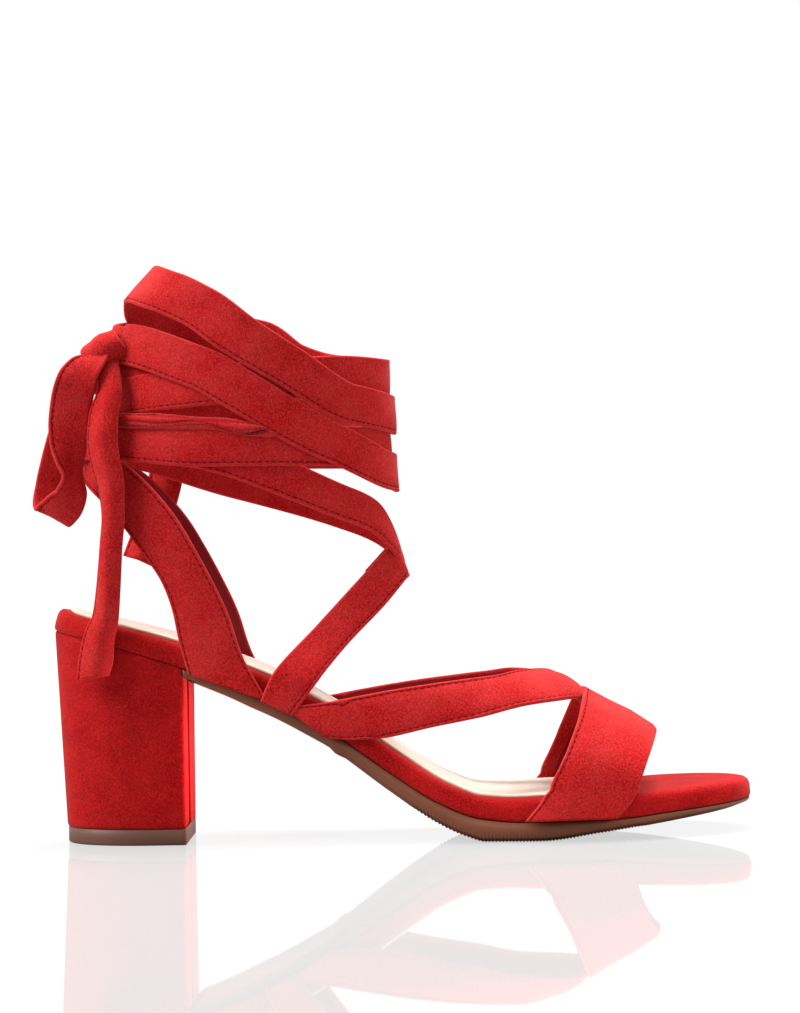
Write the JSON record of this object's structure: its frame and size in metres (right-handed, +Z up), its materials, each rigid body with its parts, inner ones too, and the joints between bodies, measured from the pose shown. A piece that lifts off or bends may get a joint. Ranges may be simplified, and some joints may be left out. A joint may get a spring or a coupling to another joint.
{
  "type": "block heel sandal",
  "caption": "Low block heel sandal with a toe band, crossed instep straps and long ties wound round the ankle to a half bow.",
  "frame": {"origin": "on the floor under the middle of the shoe's length and width", "axes": "+X towards the toe, +Y towards the inner side of the foot, +Z up"},
  "size_m": [0.2376, 0.0863, 0.1914],
  "materials": {
    "outsole_rubber": "matte moulded rubber, tan",
    "top_piece_rubber": "matte moulded rubber, tan",
    "heel_suede": "faux suede, red, over a moulded block",
    "platform_suede": "faux suede, red, over board",
    "sock_lining": "smooth synthetic lining, cream",
    "strap_suede": "faux suede, red, stitched",
    "tie_suede": "faux suede, red, stitched along one edge"
  },
  "bodies": {
    "root": {"outsole": "outsole_rubber", "heel_block": "heel_suede", "heel_top_piece": "top_piece_rubber", "platform": "platform_suede", "sock": "sock_lining", "upper": "strap_suede", "ankle_tie": "tie_suede", "tie_knot": "tie_suede", "tie_bow_loop": "tie_suede", "tie_end_long": "tie_suede", "tie_end_short": "tie_suede"}
  },
  "joints": []
}
